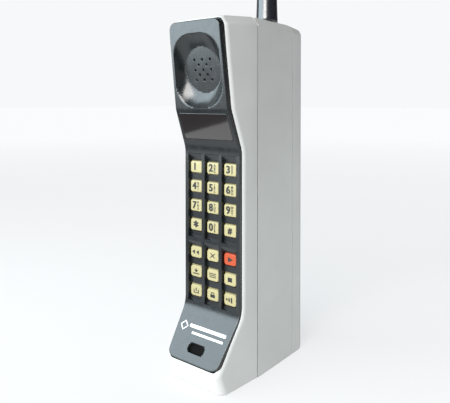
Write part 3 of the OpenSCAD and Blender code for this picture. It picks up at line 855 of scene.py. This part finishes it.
# Generic pictures on the function keys: lists of outlines, in millimetres about the key's centre
KEY_ICONS = {
    "key_recall": [[(-2.0, 0), (-0.6, -1.1), (-0.6, 1.1)], [(0.0, 0), (1.4, -1.1), (1.4, 1.1)]],
    "key_clear": [[(-1.2, -0.9), (-0.9, -1.2), (1.2, 0.9), (0.9, 1.2)],
                  [(-1.2, 0.9), (0.9, -1.2), (1.2, -0.9), (-0.9, 1.2)]],
    "key_send": [[(-0.9, -1.2), (1.4, 0), (-0.9, 1.2)]],
    "key_store": [bar(-1.5, -1.3, 1.5, -0.8), [(0, -0.6), (1.0, 0.7), (-1.0, 0.7)],
                  bar(-0.25, 0.7, 0.25, 1.3)],
    "key_function": [bar(-1.6, 0.6, 1.6, 1.0), bar(-1.6, -0.2, 1.6, 0.2), bar(-1.6, -1.0, 1.6, -0.6)],
    "key_end": [bar(-1.0, -1.0, 1.0, 1.0)],
    "key_power": [bar(-0.25, -0.2, 0.25, 1.3), bar(-1.1, -1.2, 1.1, -0.8),
                  bar(-1.3, -1.2, -0.9, 0.5), bar(0.9, -1.2, 1.3, 0.5)],
    "key_lock": [bar(-1.1, -1.2, 1.1, 0.2), bar(-0.8, 0.2, -0.45, 1.1),
                 bar(0.45, 0.2, 0.8, 1.1), bar(-0.8, 0.9, 0.8, 1.25)],
    "key_volume": [bar(-1.8, -0.5, -1.1, 0.5), bar(-0.7, -0.8, 0.0, 0.8), bar(0.4, -1.2, 1.1, 1.2)],
}
ICON_SCALE = (1.55, 1.25)  # across and up


def print_function_key(node):
    """Generic picture on a function key; each outline a little higher than the one before."""
    bm = bmesh.new()
    place = key_matrix(node)
    for i, outline in enumerate(KEY_ICONS[node]):
        grown = [(x * ICON_SCALE[0], y * ICON_SCALE[1]) for x, y in outline]
        prism(bm, grown, -0.02, PRINT_HEIGHT + 0.002 * i, place)
    mark = finish_mesh(node + "_mark", bm, 20)
    add_piece(mark, node, "antenna_rubber", INK_BLACK)


# ---------------------------------------------------------------- small pieces

def build_lens():
    """Smoked window with a fine bevel, let into the display slope."""
    bm = bmesh.new()
    place = face_matrix(window_s)
    # Height, inset, corner radius; the last ring supports the flat face
    levels = ((-LENS_DEPTH + 0.05, 0.0, 1.0), (-0.12, 0.0, 1.0), (-0.03, 0.05, 0.95),
              (0.0, 0.2, 0.8), (0.0, 0.35, 0.8))
    rings = []
    for height, inset, radius in levels:
        outline = rounded_rect(WINDOW_HALF_W - inset, WINDOW_HALF_H - inset, radius, 6)
        rings.append([place @ Vector((x, y, height)) for x, y in outline])
    made = loft(bm, rings)
    bm.faces.new(made[-1])
    bm.faces.new(list(reversed(made[0])))
    return finish_mesh("display_window", bm, 50)


CHIN_RULES = ((29.0, -10.2, 16.2, 0.9), (26.2, -7.0, 15.6, 0.6))  # height, ends, half thickness
EMBLEM_X = -14.2
EMBLEM_Z = 28.3
EMBLEM_REACH = 2.9
EMBLEM_WIDTH = 0.7


def build_chin_rules():
    """Two plain rules and a plain diamond on the chin."""
    bm = bmesh.new()
    for z, x0, x1, h in CHIN_RULES:
        place = face_matrix(panel_track.at_height(z))
        outline = [((x0 + x1) / 2 + x, y) for x, y in rounded_rect((x1 - x0) / 2, h, h * 0.5, 3)]
        prism(bm, outline, -0.02, 0.03, place)
    emblem = face_matrix(panel_track.at_height(EMBLEM_Z), EMBLEM_X)
    inner = EMBLEM_REACH - EMBLEM_WIDTH
    stroke = [(EMBLEM_REACH, 0), (0, EMBLEM_REACH), (0, inner), (inner, 0)]
    for side in range(4):
        turn = Matrix.Rotation(math.pi / 2 * side, 4, "Z")
        prism(bm, stroke, -0.02, 0.03 + 0.001 * side, emblem @ turn)
    return finish_mesh("chin_rules", bm, 30)


def build_slot_floor():
    """Dark baffle at the bottom of the microphone slot."""
    bm = bmesh.new()
    place = face_matrix(slot_s)
    outline = rounded_rect(SLOT_W / 2 - 0.05, SLOT_H / 2 - 0.05, SLOT_H / 2 - 0.06, 8)
    prism(bm, outline, *BAFFLE_LEVELS, place)
    return finish_mesh("slot_baffle", bm, 30)


def build_antenna():
    """Lathe-turned rubber rod with a flared foot and a rounded tip."""
    low, high = box_mm("antenna_whip")
    cx, cy = (low.x + high.x) / 2, (low.y + high.y) / 2
    base_r = (high.x - low.x) / 2
    length = high.z - low.z
    tip_r = 4.4
    foot_h = 3.7
    profile = [(base_r - 0.5, 0.0), (base_r - 0.15, 0.12), (base_r, 0.5), (base_r, 2.4),
               (base_r - 0.04, 3.0), (base_r - 0.08, foot_h)]
    for i in range(1, 25):
        t = i / 24
        radius = tip_r + (base_r - 0.1 - tip_r) * ((1 - t) ** 1.6 * 0.75 + (1 - t) * 0.25)
        profile.append((radius, foot_h + (length - tip_r - foot_h) * t))
    for i in range(1, 13):
        angle = math.pi / 2 * i / 12
        round_r = max(0.02, tip_r * math.cos(angle))
        profile.append((round_r, length - tip_r + tip_r * math.sin(angle)))
    sides = 72
    bm = bmesh.new()
    rings = []
    for radius, height in profile:
        ring = circle_points(cx, cy, radius, sides)
        rings.append([(x, y, low.z + height) for x, y in ring])
    made = loft(bm, rings)
    bm.faces.new(list(reversed(made[0])))
    bm.faces.new(made[-1])
    return finish_mesh("antenna_rod", bm, 30)


BEVEL_SEGMENTS = 3
BEVEL_ANGLE = 30


def refine_cad(node, width):
    """Fine rounded edges on a CAD piece, by modifiers only."""
    piece = CAD_NODES[node]
    for polygon in piece.data.polygons:
        polygon.use_smooth = True
    weld = piece.modifiers.new("weld", "WELD")
    weld.merge_threshold = 1e-6
    plain = piece.modifiers.new("plain", "DECIMATE")
    plain.decimate_type = "DISSOLVE"
    plain.angle_limit = math.radians(0.4)
    bevel = piece.modifiers.new("edges", "BEVEL")
    bevel.width = width * MM
    bevel.segments = BEVEL_SEGMENTS
    bevel.limit_method = "ANGLE"
    bevel.angle_limit = math.radians(BEVEL_ANGLE)
    bevel.harden_normals = False
    normals = piece.modifiers.new("normals", "WEIGHTED_NORMAL")
    normals.keep_sharp = False
    normals.weight = 80


add_piece(build_panel(), "phone", "panel_charcoal", MATERIALS["panel_charcoal"], "front_panel")
add_piece(build_front_housing(), "phone", "housing_grey", MATERIALS["housing_grey"], "front_housing")
add_piece(build_lens(), "phone", "smoked_lens", MATERIALS["smoked_lens"], "display_lens")
add_piece(build_chin_rules(), "phone", "housing_grey", INK_WHITE)
add_piece(build_slot_floor(), "phone", "black_plastic", SLOT_BLACK)
add_piece(build_antenna(), "antenna", "antenna_rubber", MATERIALS["antenna_rubber"], "antenna_whip")
for key_node in KEYS:
    build_key(key_node)
    if key_node in KEY_DIGITS:
        print_number_key(key_node)
    else:
        print_function_key(key_node)
refine_cad("middle_housing", 0.22)
refine_cad("battery_case", 0.5)
refine_cad("battery_latch", 0.25)


# ---------------------------------------------------------------- stage

FLOOR_REACH = 12000
FLOOR_GLOW = (0.72, 0.84)  # near the phone and far from it
FLOOR_GLOW_REACH = (0.4, 2.0)  # metres from the phone
WORLD_DIM = 0.06
WORLD_BRIGHT = 0.95
BACKDROP_WAY = (-0.62, 0.78, 0.0)
BACKDROP_EDGE = (0.72, 0.86)  # cosines between which the backdrop fades in


def build_stage():
    """Floor and world."""
    bm = bmesh.new()
    for x, y in ((-1, -1), (1, -1), (1, 1), (-1, 1)):
        bm.verts.new((x * FLOOR_REACH, y * FLOOR_REACH, 0))
    bm.faces.new(bm.verts)
    floor = finish_mesh("floor", bm)
    floor.data.materials.append(floor_material())
    build_world()


def floor_material():
    """Pale floor that glows, more with distance, so that its shadows stay light."""
    material = surface("floor_white", (0.20, 0.195, 0.19), 0.8, grain=200, grain_height=0.0,
                       variation=0.005, specular=0.0)
    shader = material.node_tree.nodes["Principled BSDF"]
    # Bluish glow over a warm base colour: a painted blue tint in the floor's shadows.
    shader.inputs["Emission Color"].default_value = (0.96, 0.98, 1.0, 1)
    tree = material.node_tree
    away = tree.nodes.new("ShaderNodeVectorMath")
    away.operation = "LENGTH"
    tree.links.new(tree.nodes.new("ShaderNodeTexCoord").outputs["Object"], away.inputs[0])
    glow = mapped(tree, away.outputs["Value"], *FLOOR_GLOW_REACH, *FLOOR_GLOW)
    tree.links.new(glow, shader.inputs["Emission Strength"])
    return material


def build_world():
    """Dim room with a bright backdrop behind and to the left of the phone."""
    world = bpy.data.worlds.new("studio")
    world.use_nodes = True
    bpy.context.scene.world = world
    tree = world.node_tree
    way = tree.nodes.new("ShaderNodeTexCoord").outputs["Generated"]
    dot = tree.nodes.new("ShaderNodeVectorMath")
    dot.operation = "DOT_PRODUCT"
    dot.inputs[1].default_value = BACKDROP_WAY
    tree.links.new(way, dot.inputs[0])
    level = mapped(tree, dot.outputs["Value"], *BACKDROP_EDGE, WORLD_DIM, WORLD_BRIGHT)
    tree.links.new(level, tree.nodes["Background"].inputs["Strength"])
    tree.nodes["Background"].inputs["Color"].default_value = (0.98, 0.99, 1.0, 1)


def soft_sun(name, way, irradiance, spread, colour):
    """Even soft light from a direction; spread is the width of its source in degrees."""
    light = bpy.data.lights.new(name, "SUN")
    light.energy = irradiance
    light.angle = math.radians(spread)
    light.color = colour
    lamp = bpy.data.objects.new(name, light)
    lamp.rotation_euler = Vector(way).to_track_quat("Z", "Y").to_euler()
    bpy.context.scene.collection.objects.link(lamp)


def soft_card(name, place, way, size, radiance, colour):
    """Soft box at a place, facing along way; size is its width and height in metres."""
    light = bpy.data.lights.new(name, "AREA")
    light.shape = "RECTANGLE"
    light.size, light.size_y = size
    light.energy = radiance * math.pi * size[0] * size[1]
    light.color = colour
    lamp = bpy.data.objects.new(name, light)
    lamp.location = place
    lamp.rotation_euler = Vector(way).to_track_quat("-Z", "Y").to_euler()
    bpy.context.scene.collection.objects.link(lamp)


def dark_card(name, corners):
    """Black card lying on the floor, seen only in glossy reflections."""
    bm = bmesh.new()
    for x, y in corners:
        bm.verts.new((x, y, 1))
    bm.faces.new(bm.verts)
    card = finish_mesh(name, bm)
    card.data.materials.append(INK_BLACK)
    card.visible_camera = False
    card.visible_diffuse = False
    card.visible_shadow = False
    card.visible_transmission = False


# Corners of the black cards on the floor, in millimetres: one that the lens mirrors, one to the right
LENS_CARD = ((-247, -122), (-110, -179), (-150, -300), (-340, -300))
RIGHT_CARD = ((70, -60), (1800, -60), (1800, -2500), (70, -2500))


def build_lights():
    """Cool soft box to the left, warm soft light from the front, low fill on the right."""
    soft_card("left_card", (-0.262, -0.358, 0.383), (0.625, 0.78, 0), (0.50, 0.53), 5.4,
              (0.82, 0.98, 1.06))
    soft_sun("front_light", (0.17, -0.88, 0.44), 4.6, 40, (1.0, 0.985, 0.97))
    soft_card("low_card", (0.165, 0.03, 0.035), (-1, 0, 0.15), (0.30, 0.07), 0.9, (0.92, 1.0, 0.96))
    dark_card("lens_card", LENS_CARD)
    dark_card("right_card", RIGHT_CARD)


LENS_MM = 43.06
LENS_SHIFT = -0.2017
CAMERA_PLACE = (0.1990, -0.2595, 0.1584)
CAMERA_TILT = 89.0
CAMERA_TURN = 38.71


def build_camera():
    """Camera fitted to the photograph."""
    camera = bpy.data.cameras.new("camera")
    camera.sensor_width = 36
    camera.lens = LENS_MM
    camera.shift_y = LENS_SHIFT
    camera.clip_start = 0.01
    holder = bpy.data.objects.new("camera", camera)
    holder.location = CAMERA_PLACE
    holder.rotation_euler = (math.radians(CAMERA_TILT), 0, math.radians(CAMERA_TURN))
    bpy.context.scene.collection.objects.link(holder)
    bpy.context.scene.camera = holder


build_stage()
build_lights()
build_camera()
bpy.context.scene.view_settings.view_transform = "Standard"
